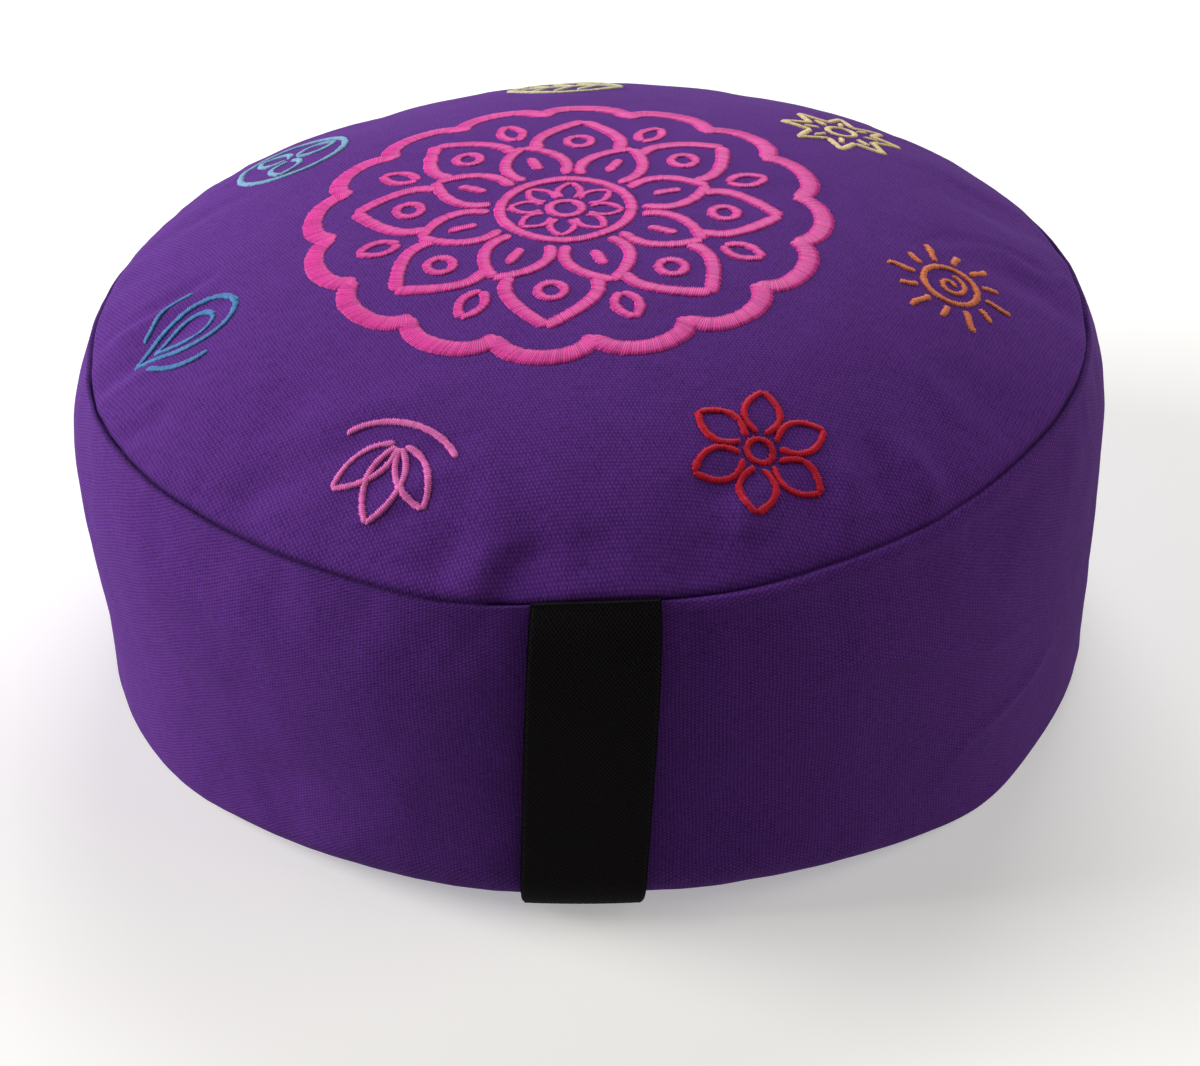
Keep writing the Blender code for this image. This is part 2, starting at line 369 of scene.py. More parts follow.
def pressed_out(voxel_mm=5.0, spare=0.02, pressure=4.0, frames=20):
    """Start points of an even copy, and how far each is pressed out, in millimetres."""
    copy = mesh_object("filling_trial", skin_points - outward(cushion.data) * 1.5 * MM, skin_faces)
    even = copy.modifiers.new("Even faces", "REMESH")
    even.mode, even.voxel_size = "VOXEL", voxel_mm * MM
    apply_modifiers(copy)
    start, normals = read_points(copy.data), outward(copy.data)
    beside_seam = nearest_values(skin_points, skin_girth * 1000.0, start)
    held = np.maximum(np.exp(-((beside_seam / 4.0) ** 2)), beside_seam > base_seam * 1000.0 - 3.0)
    seams = copy.vertex_groups.new(name="seams")
    for number in np.flatnonzero(held > 0.05):
        seams.add([int(number)], float(held[number]), "REPLACE")
    canvas = copy.modifiers.new("Canvas", "CLOTH")
    canvas.point_cache.frame_start, canvas.point_cache.frame_end = 1, frames
    canvas.collision_settings.use_collision = False
    settings = canvas.settings
    settings.quality, settings.mass, settings.air_damping = 8, 0.3, 1.0
    settings.tension_stiffness = settings.compression_stiffness = 40.0
    settings.shear_stiffness, settings.bending_stiffness = 24.0, 5.0
    settings.use_pressure, settings.uniform_pressure_force = True, pressure
    settings.vertex_group_mass, settings.shrink_min = "seams", -spare
    settings.effector_weights.gravity = 0.0
    for step in range(1, frames + 1):
        bpy.context.scene.frame_set(step)
    apply_modifiers(copy)
    out_mm = ((read_points(copy.data) - start) * normals).sum(1) * 1000.0
    bpy.data.objects.remove(copy)
    bpy.context.scene.frame_set(1)
    return start, out_mm


def nearest_values(points, values, places):
    """Values at new places: a mean of the four nearest points, the closer the heavier."""
    tree = KDTree(len(points))
    for number, point in enumerate(points):
        tree.insert(point, number)
    tree.balance()
    found = [[(number, far) for _, number, far in tree.find_n(place, 4)] for place in places]
    numbers, far = (np.array([[pair[side] for pair in row] for row in found]) for side in (0, 1))
    weight = 1.0 / (far + 0.5 * MM)
    return (values[numbers] * weight).sum(1) / weight.sum(1)


settled_mm = np.zeros(len(skin_points))
settled_mm = nearest_values(*pressed_out(), skin_points)
print("simulation: pressed out by", round(float(settled_mm.mean()), 3),
      "mm, uneven by", round(float(settled_mm.std()), 3))

# %% [markdown]
# Only the puckers are kept. The mean swelling at each distance from the seam is taken
# off, so the cushion keeps its size, and what is left is capped and weakened to three
# tenths, as this cushion is firmly filled and its cloth lies nearly smooth.

# %% Keep the puckers
_, same_girth = np.unique(np.round(skin_girth * 1000.0, 1), return_inverse=True)
settled_mm -= (np.bincount(same_girth, settled_mm) / np.bincount(same_girth))[same_girth]
settled_mm = 0.3 * np.clip(settled_mm, -2.0, 2.0)
layer = cushion.data.attributes.new("settled_mm", "FLOAT", "POINT")
layer.data.foreach_set("value", settled_mm)
print("puckers from", round(float(settled_mm.min()), 2), "to", round(float(settled_mm.max()), 2), "mm")

# %% [markdown]
# ## A finer skin
# One Catmull-Clark subdivision gives points about 2 mm apart, and less than 1 mm beside
# the seams. The modifier is applied, because the folds are pressed into its result.

# %% Subdivide the skin
finer = cushion.modifiers.new("Finer cloth", "SUBSURF")
finer.levels = finer.render_levels = 1
apply_modifiers(cushion)
cloth = cushion.data
girth = np.empty(len(cloth.vertices), np.float32)
cloth.attributes["girth"].data.foreach_get("value", girth)
puckers = np.empty(len(cloth.vertices), np.float32)
cloth.attributes["settled_mm"].data.foreach_get("value", puckers)
print("finer cushion cover:", len(cloth.vertices), "points")

# %% [markdown]
# ## Folds, creases and the pull of the seams
# Canvas is stiff, so a filled cover shows few, broad folds, and short creases where a
# seam holds it back. Each one is drawn as a line on the cloth with a width and a height,
# and pushes the cloth out or in along its own outward direction.

# %% Measure distances from a line drawn on the cloth


def beside(line, places):
    """Share along a line, distance from it, and whether a place lies to its right."""
    line = np.asarray(line, float)
    lengths = np.linalg.norm(np.diff(line, axis=0), axis=1)
    before = np.concatenate(([0.0], np.cumsum(lengths)))
    best = np.full(len(places), 1e9)
    share = np.zeros(len(places))
    right = np.zeros(len(places), bool)
    for start, end, length, gone in zip(line, line[1:], lengths, before):
        step = (end - start) / length
        along = np.clip((places - start) @ step, 0.0, length)
        far = np.linalg.norm(places - start - along[:, None] * step, axis=1)
        closer = far < best
        best = np.where(closer, far, best)
        share = np.where(closer, (gone + along) / before[-1], share)
        right = np.where(closer, (places - start) @ (step[1], -step[0]) > 0.0, right)
    return share, best, right


def fold(line, width, height, places, start=0.0, end=0.0, spread=1.0):
    """Height of one fold: full in its middle, start and end of it at its ends, spread on its right."""
    share, far, right = beside(line, places)
    ends = start + (1.0 - start) * smooth_step(share / 0.35)
    ends = np.minimum(ends, end + (1.0 - end) * smooth_step((1.0 - share) / 0.35))
    return height * ends * np.exp(-((far / np.where(right, width * spread, width)) ** 2))


trial = fold([(0, 0), (50, 0)], 8, 1, np.array([(25.0, 8.0)]))
print("a fold 8 mm wide is", round(float(trial[0]), 2), "high at its edge")

# %% [markdown]
# On the top the lines are in plan, x and y in mm. The strongest is the hooked crease
# left of the handle: it leaves the seam, rises, and bends over to the right. Most others
# run along the warp, which lies across the picture here, and the panel's right half has
# short dents instead.

# %% Press the folds into the top panel
TOP_FOLDS_MM = (
    # line, width, height, share of the height at its start and end, spread
    (((-30, -178), (-29, -171), (-27.5, -167), (-24.5, -164), (-18.5, -162), (-9, -161.5)),
     3.6, -1.25, 0.9, 0.0, 16.0),
    (((-18, -157), (-26, -158.5), (-32, -162), (-35, -167), (-37, -178)), 4.0, 1.0, 0.0, 0.9, 9.0),
    (((0, -173), (-1, -164), (-3, -154)), 8.0, -0.8, 0.3, 0.0, 1.0),
    (((-163, -20), (-146, -19), (-122, -15)), 3.4, -1.3, 0.4, 0.0, 1.0),
    (((-165, -26), (-152, -26), (-128, -28)), 3.4, 1.0, 0.4, 0.0, 1.0),
    (((-161, -48), (-147, -42), (-128, -41)), 4.2, -1.2, 0.4, 0.0, 1.0),
    (((-164, -56), (-152, -55), (-136, -54)), 4.0, 1.0, 0.4, 0.0, 1.0),
    (((-158, -79), (-134, -78)), 4.6, -1.0, 0.4, 0.0, 1.0),
    (((-138, -106), (-110, -112), (-77, -106), (-28, -104)), 6.0, 0.6, 0.2, 0.0, 1.0),
    (((-118, -124), (-95, -122), (-73, -118), (-56, -115)), 5.0, -0.6, 0.2, 0.0, 1.0),
    (((-80, -140), (-61, -131), (-49, -129), (-26, -121)), 4.6, -0.55, 0.2, 0.0, 1.0),
    (((-76, -147), (-61, -140), (-40, -133)), 3.6, 0.5, 0.2, 0.0, 1.0),
    (((-68, -147), (-53, -142), (-41, -139)), 3.0, -0.45, 0.2, 0.0, 1.0),
    (((-48, -170), (-46, -162), (-43, -155), (-40, -147)), 4.6, -0.7, 0.8, 0.0, 1.7),
    (((28, -149), (41, -143), (52, -138)), 4.4, -0.8, 0.2, 0.2, 1.0),
    (((52, -130), (61, -138)), 5.5, -1.5, 0.6, 0.6, 1.0),
    (((77, -127), (77, -141), (74, -153)), 4.6, 1.4, 0.2, 0.4, 1.0),
    (((84, -115), (88, -129), (86, -145)), 4.2, -1.4, 0.2, 0.2, 1.0),
    (((94, -115), (102, -126), (104, -138)), 4.6, 1.3, 0.2, 0.3, 1.0),
    (((44, -143), (45, -152), (43, -162)), 4.2, 1.2, 0.2, 0.4, 1.0),
    (((28, -166), (37, -156)), 4.2, -0.8, 0.6, 0.2, 1.0),
    (((94, -80), (116, -100), (132, -103)), 5.0, 0.6, 0.2, 0.0, 1.0),
    (((104, -27), (129, -8), (148, -2), (159, -4), (172, 6)), 2.6, -0.55, 0.0, 0.8, 1.0),
    (((118, -20), (148, -10), (168, -12)), 3.6, 0.3, 0.0, 0.3, 1.0),
    (((138, -14), (146, -9)), 3.4, -0.6, 0.6, 0.6, 1.0),
    (((160, 40), (132, 46), (104, 44)), 5.0, -0.6, 0.3, 0.0, 1.0),
    (((143, 86), (112, 90)), 5.0, 0.5, 0.3, 0.0, 1.0),
    (((62, 154), (66, 138), (62, 120)), 6.0, -0.6, 0.3, 0.0, 1.0),
    (((0, 166), (7, 148), (2, 130)), 6.0, 0.5, 0.3, 0.0, 1.0),
    (((-54, 158), (-44, 140), (-45, 124)), 5.0, -0.5, 0.3, 0.0, 1.0),
    (((-160, 38), (-132, 43), (-104, 40)), 5.0, -0.5, 0.3, 0.0, 1.0),
    (((-150, 70), (-118, 72)), 5.0, 0.5, 0.3, 0.0, 1.0),
    (((-128, 106), (-98, 112), (-70, 106)), 6.0, 0.5, 0.3, 0.0, 1.0),
)
points = read_points(cloth)
normals = outward(cloth)
on_top = girth < 0.0
plan_mm = points[:, :2] * 1000.0
relief_mm = np.zeros(len(points))
for line, width, height, *ends in TOP_FOLDS_MM:
    relief_mm[on_top] += fold(line, width, height, plan_mm[on_top], *ends)
print("top folds:", len(TOP_FOLDS_MM), " from", round(relief_mm.min(), 2),
      "to", round(relief_mm.max(), 2), "mm")

# %% [markdown]
# On the band the lines run nearly level, x as the direction in degrees times 3.14 mm
# and y as the distance below the seam: the band was cut on the straight, and slack
# gathers along it.

# %% Press the folds into the side band
DEGREE_MM = 3.14          # length of the band for one degree round the cushion
degrees = np.degrees(np.arctan2(points[:, 1], points[:, 0])) % 360.0
band_mm = np.stack((degrees * DEGREE_MM, girth * 1000.0), 1)
BAND_FOLDS = (
    # azimuths and depths below the seam in mm, width, height
    (((212, 62), (220, 63), (228, 68)), 4.5, -0.5),
    (((214, 36), (229, 41), (240, 46)), 4.5, -0.45),
    (((205, 50), (218, 53), (232, 56)), 6.0, 0.45),
    (((214, 88), (232, 92), (250, 86)), 7.0, -0.6),
    (((236, 0), (243, 5), (246, 11)), 3.6, 0.4),
    (((244, 56), (254, 57), (262, 64)), 4.0, -0.4),
    (((246, 70), (256, 73), (263, 78)), 5.0, 0.4),
    (((260.5, 3), (257.8, 12), (254.5, 31)), 3.6, -0.35),
    (((262.5, 1), (261.2, 4), (259.8, 6)), 2.0, 0.3),
    (((278, 26), (290, 31), (304, 24)), 7.0, -0.5),
    (((286, 43), (296, 38), (312, 51), (329, 62)), 2.2, 1.2),
    (((305, 104), (311, 84), (331, 76)), 2.2, 1.2),
    (((276, 60), (292, 64), (312, 66)), 8.0, 0.5),
    (((277, 84), (296, 90), (316, 92)), 7.0, -0.5),
    (((312.6, 2), (311.2, 8), (310.8, 18)), 2.2, -0.6),
    (((316, 14), (330, 20), (344, 16)), 6.0, 0.5),
    (((160, 40), (176, 46), (194, 40)), 6.0, -0.6),
    (((166, 66), (180, 70), (198, 68)), 5.0, 0.5),
    (((20, 50), (44, 56), (66, 48)), 7.0, -0.7),
    (((84, 34), (104, 40), (126, 36)), 7.0, -0.7),
    (((112, 70), (134, 76), (156, 70)), 7.0, -0.6),
    (((52, 80), (76, 86), (98, 80)), 7.0, 0.6),
    (((350, 60), (358, 66), (372, 60)), 6.0, -0.6),
)
on_band = (girth > 0.0) & (points[:, 2] > 0.004)
for line, width, height in BAND_FOLDS:
    line = [(azimuth * DEGREE_MM, depth) for azimuth, depth in line]
    relief_mm[on_band] += fold(line, width, height, band_mm[on_band])
print("band folds:", len(BAND_FOLDS))

# %% [markdown]
# The seams pull the cloth in. At the top seam the round panel rolls down into a narrow
# groove. To the right of the handle the seam allowance inside presses the band's upper
# edge out, so that this edge faces up and catches the light. Small puckers fade within 15 mm,
# because the round panel is a bit longer at its edge than the band that it is sewn to.
# Over everything lies a faint unevenness of the filling, from slow noise. The handle
# holds the band down, and the depth of the seam is kept as an attribute, which paints
# shade into the colour of the seam's groove, less where the band's edge faces up.

# %% Press in the seams and the unevenness


def wander(where, size_mm, seed):
    """Slow noise from -1 to 1 at many points, with features of about this size."""
    scaled = where * (1000.0 / size_mm) + seed * 17.3
    return np.array([noise.noise(Vector(place)) for place in scaled])


around = np.stack((np.cos(np.radians(degrees)), np.sin(np.radians(degrees)), 0 * degrees), 1) * 0.175
girth_mm = girth * 1000.0 + 0.5 * wander(around, 22.0, 1)
pucker = wander(around, 7.5, 2) * 0.8 + wander(around, 17.0, 3)
below = np.exp(-np.maximum(girth_mm, 0.0) / 9.0) * np.exp(-np.maximum(-girth_mm, 0.0) / 11.0)
relief_mm += puckers + 0.4 * pucker * below * (1.0 - np.exp(-((girth_mm / 2.0) ** 2)))
pressed = 1.9 * smooth_step((degrees - 275.5) / 5.0) * smooth_step((336.0 - degrees) / 30.0)
relief_mm -= 1.9 * np.exp(-((girth_mm / np.where(girth_mm < 0.0, 1.4, 0.6)) ** 2))
relief_mm -= 0.45 * np.exp(-((girth_mm / 3.2) ** 2)) * (girth_mm < 0.0)
relief_mm += pressed * np.exp(-(((girth_mm - 4.4) / 3.2) ** 2)) * (girth_mm > 0.0)
relief_mm -= 1.4 * np.exp(-(((girth * 1000.0 - base_seam * 1000.0) / 1.3) ** 2))
calm = smooth_step((points[:, 2] - 0.002) / 0.01)
broad, medium, fine = (wander(points, *kind) for kind in ((46.0, 4), (19.0, 5), (10.0, 6)))
relief_mm += calm * (0.55 * broad + 0.35 * medium + 0.14 * fine)
below_handle = np.exp(-(((degrees - 269.0) / 7.4) ** 8)) * (girth > 0.0)
relief_mm = np.where(relief_mm > -1.0, relief_mm * (1.0 - below_handle) - 0.6 * below_handle, relief_mm)
write_points(cloth, points + normals * (relief_mm * MM)[:, None])
points = read_points(cloth)
points[:, 2] = np.maximum(points[:, 2], 0.0002)
write_points(cloth, points)
# Painted shade: the canvas colour is darkened along the groove of the top seam, less right of the
# handle.
seam_painted_shade = np.exp(-(((girth_mm + 0.2) / 1.4) ** 2)) * (1.0 - 0.42 * pressed)
layer = cloth.attributes.new("seam_painted_shade", "FLOAT", "POINT")
layer.data.foreach_set("value", seam_painted_shade)
print("relief from", round(relief_mm.min(), 2), "to", round(relief_mm.max(), 2),
      "mm; height", round(points[:, 2].max(), 4))

# %% [markdown]
# ## Finishes: a colour and a node at a time
# Colours are written as sRGB hex values, as a dye card gives them, and one function turns
# them to the linear values that the shader needs. A second small function adds a node
# with its settings and its links.

# %% Two helpers for materials


def linear(hex_colour):
    """A linear RGBA colour from an sRGB hex value."""
    parts = [int(hex_colour[i : i + 2], 16) / 255.0 for i in (0, 2, 4)]
    return (*(c / 12.92 if c <= 0.04045 else ((c + 0.055) / 1.055) ** 2.4 for c in parts), 1.0)


def add_node(tree, kind, settings=(), inputs=()):
    """Add a node, set its properties, and fill its inputs with values or links."""
    node = tree.nodes.new(kind)
    for name, value in dict(settings).items():
        setattr(node, name, value)
    for name, value in dict(inputs).items():
        if isinstance(value, bpy.types.NodeSocket):
            tree.links.new(value, node.inputs[name])
        else:
            node.inputs[name].default_value = value
    return node


def new_finish(name):
    """An empty material with its shader, ready for nodes."""
    material = bpy.data.materials.new(name)
    material.use_nodes = True
    return material, material.node_tree, material.node_tree.nodes["Principled BSDF"]


print("violet dye:", [round(c, 3) for c in linear("5A2F86")[:3]])

# %% [markdown]
# ## Dyed cotton canvas
# The cover is cotton canvas in a plain weave, piece-dyed violet. Its warp is of paired
# threads 1.2 mm apart and its weft of single threads 0.61 mm apart, so the raised points
# stand in staggered rows: the product of two sine waves, one along each direction, rises
# at each of them. A third wave rounds the paired warp, and a fourth, slanted one gives the
# lean that twisted yarn gives to a cloth. Cotton is matt, and the fuzz on its threads
# scatters a little light at grazing angles, which sheen gives.

# %% Make the canvas
WARP_MM, WEFT_MM = 1.2, 0.61
canvas, tree, shader = new_finish("dyed_cotton_canvas")
place = add_node(tree, "ShaderNodeUVMap", {"uv_map": "cloth_mm"})
shift = add_node(tree, "ShaderNodeTexNoise", {"noise_dimensions": "2D"},
                 {"Vector": place.outputs["UV"], "Scale": 0.03, "Detail": 2.0})
bent = add_node(tree, "ShaderNodeVectorMath", {"operation": "MULTIPLY_ADD"},
                {0: shift.outputs["Color"], 1: (2.5, 2.5, 0.0), 2: place.outputs["UV"]})
axes = add_node(tree, "ShaderNodeSeparateXYZ", (), {0: bent.outputs[0]})
angles = [add_node(tree, "ShaderNodeMath", {"operation": "MULTIPLY"},
                   {0: axes.outputs[axis], 1: math.pi / pitch})
          for axis, pitch in (("X", WARP_MM), ("Y", WEFT_MM), ("X", WARP_MM / 2))]
angles.append(add_node(tree, "ShaderNodeMath", {"operation": "ADD"},
                       {0: angles[0].outputs[0], 1: angles[1].outputs[0]}))
waves = [add_node(tree, "ShaderNodeMath", {"operation": kind}, {0: angle.outputs[0]})
         for angle, kind in zip(angles, ("SINE", "SINE", "COSINE", "COSINE"))]
crossing = add_node(tree, "ShaderNodeMath", {"operation": "MULTIPLY"},
                    {0: waves[0].outputs[0], 1: waves[1].outputs[0]})
paired = add_node(tree, "ShaderNodeMath", {"operation": "MULTIPLY_ADD"},
                  {0: waves[2].outputs[0], 1: -0.60, 2: crossing.outputs[0]})
rounded = add_node(tree, "ShaderNodeMath", {"operation": "MULTIPLY_ADD"},
                   {0: waves[3].outputs[0], 1: -0.34, 2: paired.outputs[0]})
lengthwise = add_node(tree, "ShaderNodeVectorMath", {"operation": "MULTIPLY"},
                      {0: bent.outputs[0], 1: (0.4, 1.7, 0.0)})
slubs = add_node(tree, "ShaderNodeTexNoise", {"noise_dimensions": "2D"},
                 {"Vector": lengthwise.outputs[0], "Scale": 1.0, "Detail": 2.0})
yarn = add_node(tree, "ShaderNodeMath", {"operation": "MULTIPLY"}, {0: slubs.outputs["Fac"], 1: 0.75})
height = add_node(tree, "ShaderNodeMath", {"operation": "MULTIPLY_ADD"},
                  {0: rounded.outputs[0], 1: 0.22, 2: yarn.outputs[0]})
dye = add_node(tree, "ShaderNodeTexNoise", {"noise_dimensions": "3D"},
               {"Scale": 60.0, "Detail": 4.0, "Roughness": 0.6})
# Painted shade and highlight: the colour follows the weave's height, with raised points lighter and the
# hollows between them darker, plus a random dye tone.
tone_and_shade = add_node(tree, "ShaderNodeMath", {"operation": "MULTIPLY_ADD"},
                {0: dye.outputs["Fac"], 1: 0.30, 2: height.outputs[0]})
colour = add_node(tree, "ShaderNodeValToRGB", (), {"Fac": tone_and_shade.outputs[0]})
stops = colour.color_ramp.elements
stops[0].position, stops[0].color = 0.05, linear("3D1A61")
stops[1].position, stops[1].color = 0.85, linear("6C369D")
# Painted shade in the top seam's groove: the colour is dimmed there by up to 48 per cent.
deep = add_node(tree, "ShaderNodeAttribute", {"attribute_name": "seam_painted_shade"})
shade = add_node(tree, "ShaderNodeMath", {"operation": "MULTIPLY_ADD"},
                 {0: deep.outputs["Fac"], 1: -0.48, 2: 1.0})
seam_shaded_colour = add_node(tree, "ShaderNodeVectorMath", {"operation": "SCALE"},
                  {0: colour.outputs["Color"], "Scale": shade.outputs[0]})
rise = add_node(tree, "ShaderNodeBump", (),
                {"Strength": 0.58, "Distance": 0.0003, "Height": height.outputs[0]})
tree.links.new(seam_shaded_colour.outputs[0], shader.inputs["Base Color"])
tree.links.new(rise.outputs["Normal"], shader.inputs["Normal"])
shader.inputs["Roughness"].default_value = 0.88
shader.inputs["Specular IOR Level"].default_value = 0.12
shader.inputs["Sheen Weight"].default_value = 0.08
shader.inputs["Sheen Roughness"].default_value = 0.45
shader.inputs["Sheen Tint"].default_value = linear("B08CD0")
cloth.materials.clear()
cloth.materials.append(canvas)
print("canvas:", len(tree.nodes), "nodes, warp", WARP_MM, "mm, weft", WEFT_MM, "mm")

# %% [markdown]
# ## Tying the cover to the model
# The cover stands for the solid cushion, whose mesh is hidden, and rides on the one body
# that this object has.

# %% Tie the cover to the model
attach(cushion, "root")
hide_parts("cushion")
surface = BVHTree.FromPolygons([tuple(p) for p in points], [tuple(f.vertices) for f in cloth.polygons])

# %% [markdown]
# ## The webbing handle
# The handle is flat cotton webbing, 40 mm wide and 1.8 mm thick. Its upper end is caught
# under the lip of the top seam and its lower end turns under the foot into the base seam.
# It is built across and along as a fine grid, so that the rows of its weave and its
# rolled edges are real relief, and closed at the back as webbing is.

# %% Find the line that the handle follows
STRAP_WIDTH = 0.040
STRAP_THICKNESS = 0.0018
STRAP_TOP, STRAP_FOOT = 269.8, 267.1
STRAP_LIFT = 0.0022
STRAP_LONG, STRAP_WIDE = 190, 46   # faces along and across
RIB_MM, CROSS_MM = 1.25, 1.6


def wall_line(azimuth, count):
    """Radius and height of the band and foot in one direction, evenly spaced."""
    share = np.linspace(0.0, 1.0, 80)
    turn = np.full(80, azimuth)
    radius, height = wall_points(turn, share)
    under, low = foot_points(turn[1:], share[1:])
    line = np.stack((np.concatenate((radius, under)), np.concatenate((height, low))), 1)
    gone = np.concatenate(([0.0], np.cumsum(np.linalg.norm(np.diff(line, axis=0), axis=1))))
    even = np.linspace(0.0, gone[-1], count)
    return np.stack([np.interp(even, gone, part) for part in line.T], 1), gone[-1]


_, strap_length = wall_line(269.0, 60)
print("handle between its seams:", round(strap_length * 1000, 1), "mm")

# %% [markdown]
# The relief of the weave: ribs run along the webbing 1.25 mm apart, and each rib is
# broken by the cross threads every 1.6 mm, half a step out from its neighbour.

# %% Build the handle


def strap_rows():
    """Grid of the handle's outer and inner points."""
    across = np.linspace(-0.5, 0.5, STRAP_WIDE + 1)
    down = np.linspace(0.0, 1.0, STRAP_LONG + 1)
    outer = np.zeros((STRAP_LONG + 1, STRAP_WIDE + 1, 3))
    inner = np.zeros_like(outer)
    half_turn = math.degrees(STRAP_WIDTH / (SEAM_RADIUS + 0.006))
    for column, side in enumerate(across):
        middle = STRAP_TOP + (STRAP_FOOT - STRAP_TOP) * down
        azimuth = middle + side * half_turn
        line_top, _ = wall_line(azimuth[0], STRAP_LONG + 1)
        line_foot, _ = wall_line(azimuth[-1], STRAP_LONG + 1)
        line = line_top + (line_foot - line_top) * down[:, None]
        slope = np.gradient(line, axis=0)
        slope /= np.linalg.norm(slope, axis=1)[:, None]
        out = np.stack((-slope[:, 1], slope[:, 0]), 1)
        lift = 0.0007 + STRAP_LIFT * np.sin(math.pi * down) ** 0.8
        tuck = 0.0025 * np.exp(-((down / 0.045) ** 2)) + 0.0010 * np.exp(-(((1.0 - down) / 0.02) ** 2))
        side_mm = (side + 0.5) * STRAP_WIDTH * 1000.0
        down_mm = down * strap_length * 1000.0
        rib = np.sin(math.pi * side_mm / RIB_MM) * np.sin(math.pi * down_mm / CROSS_MM)
        rolled = 1.0 - 0.40 * np.clip((abs(side) - 0.475) / 0.025, 0.0, 1.0) ** 2
        thick = STRAP_THICKNESS * rolled + 0.00010 * rib * (abs(side) < 0.485)
        back = STRAP_THICKNESS * (1.0 - rolled) * 0.6
        turn = np.radians(azimuth)
        for grid, far in ((outer, lift - tuck + thick), (inner, lift - tuck + back)):
            at = line + out * far[:, None]
            grid[:, column] = np.stack((at[:, 0] * np.cos(turn), at[:, 0] * np.sin(turn), at[:, 1]), 1)
    return outer, inner


outer, inner = strap_rows()
size = outer.shape[0] * outer.shape[1]
outer_index = np.arange(size).reshape(outer.shape[:2])
inner_index = outer_index + size
edge = np.concatenate((
    outer_index[0, :-1], outer_index[:-1, -1], outer_index[-1, :0:-1], outer_index[:0:-1, 0],
))
strap_faces = np.concatenate((
    grid_faces(outer_index), grid_faces(inner_index, turned=True), band_faces(edge, edge + size),
))
strap_points = np.concatenate((outer.reshape(-1, 3), inner.reshape(-1, 3)))
strap = mesh_object("webbing_handle", strap_points, strap_faces)
strap_uv = np.stack(np.meshgrid(np.linspace(0, strap_length * 1000, STRAP_LONG + 1),
                                np.linspace(0, 40, STRAP_WIDE + 1), indexing="ij"), -1).reshape(-1, 2)
layer = strap.data.uv_layers.new(name="webbing_mm")
layer.data.foreach_set("uv", np.tile(strap_uv, (2, 1))[strap_faces].ravel())
print("handle:", len(strap.data.polygons), "faces")

# %% [markdown]
# ## Black cotton webbing
# Black-dyed cotton webbing is nearly as dark as cloth gets, and matt. Its weave shows as
# fine grey specks where threads turn over and catch the light, so the colour lifts
# slightly on the high threads.

# %% Make the webbing's finish
webbing, tree, shader = new_finish("black_cotton_webbing")
place = add_node(tree, "ShaderNodeUVMap", {"uv_map": "webbing_mm"})
axes = add_node(tree, "ShaderNodeSeparateXYZ", (), {0: place.outputs["UV"]})
waves = []
for axis, pitch in (("X", 0.8), ("Y", 0.625)):
    angle = add_node(tree, "ShaderNodeMath", {"operation": "MULTIPLY"},
                     {0: axes.outputs[axis], 1: math.pi / pitch})
    waves.append(add_node(tree, "ShaderNodeMath", {"operation": "SINE"}, {0: angle.outputs[0]}))
weave = add_node(tree, "ShaderNodeMath", {"operation": "MULTIPLY"},
                 {0: waves[0].outputs[0], 1: waves[1].outputs[0]})
fuzz = add_node(tree, "ShaderNodeTexNoise", {"noise_dimensions": "2D"},
                {"Vector": place.outputs["UV"], "Scale": 1.6, "Detail": 3.0})
height = add_node(tree, "ShaderNodeMath", {"operation": "MULTIPLY_ADD"},
                  {0: weave.outputs[0], 1: 0.4, 2: fuzz.outputs["Fac"]})
colour = add_node(tree, "ShaderNodeValToRGB", (), {"Fac": height.outputs[0]})
stops = colour.color_ramp.elements
stops[0].position, stops[0].color = 0.25, linear("0D0C0E")
stops[1].position, stops[1].color = 0.95, linear("2A262B")
rise = add_node(tree, "ShaderNodeBump", (),
                {"Strength": 0.6, "Distance": 0.0002, "Height": height.outputs[0]})
tree.links.new(colour.outputs["Color"], shader.inputs["Base Color"])
tree.links.new(rise.outputs["Normal"], shader.inputs["Normal"])
shader.inputs["Roughness"].default_value = 0.85
shader.inputs["Specular IOR Level"].default_value = 0.06
strap.data.materials.append(webbing)
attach(strap, "root")
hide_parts("handle_strap")
print("webbing:", len(tree.nodes), "nodes")

# %% [markdown]
# ## Embroidery: how a satin column is made
# Every line of the embroidery is a satin column: a thread laid back and forth across the
# line, each pass close beside the last. Seen close, it is a small rounded band of slanted
# ribs with a toothed edge. Real passes lie closer together, too fine to show well in a
# picture of this size, so they are drawn 0.74 mm apart. Each column is a closed ribbon:
# its rows alternate between the top of a thread and the valley beside it.

# %% Space points evenly along a drawn line
PASS_MM = 0.74
SLANT = math.tan(math.radians(13.0))
ACROSS = np.array((-1.0, -0.86, -0.5, 0.0, 0.5, 0.86, 1.0))
ARCH = np.array((-0.7, 0.55, 0.90, 1.0, 0.90, 0.55, -0.7))


def evenly(line, closed):
    """Points half a pass apart along a line, with the direction at each."""
    line = np.asarray(line, float)
    gone = np.concatenate(([0.0], np.cumsum(np.linalg.norm(np.diff(line, axis=0), axis=1))))
    count = 2 * max(3, round(gone[-1] / PASS_MM))
    even = np.linspace(0.0, gone[-1], count + 1)
    spaced = np.stack([np.interp(even, gone, part) for part in line.T], 1)
    if closed:
        spaced = spaced[:-1]
        ahead = np.roll(spaced, -1, 0) - np.roll(spaced, 1, 0)
    else:
        ahead = np.gradient(spaced, axis=0)
    return spaced, ahead / np.linalg.norm(ahead, axis=1)[:, None], even[: len(spaced)]


print("a 60 mm line has", len(evenly([(0, 0), (60, 0)], False)[0]), "rows")

# %% [markdown]
# The rows are drawn flat, in millimetres on a pattern, and then dropped on the cloth:
# each point looks for the cushion along the pattern's own direction, and stands off it by
# its height. So the stitches follow every fold that was pressed in before.

# %% Build satin columns and lay them on the cloth
picked = np.random.default_rng(7)


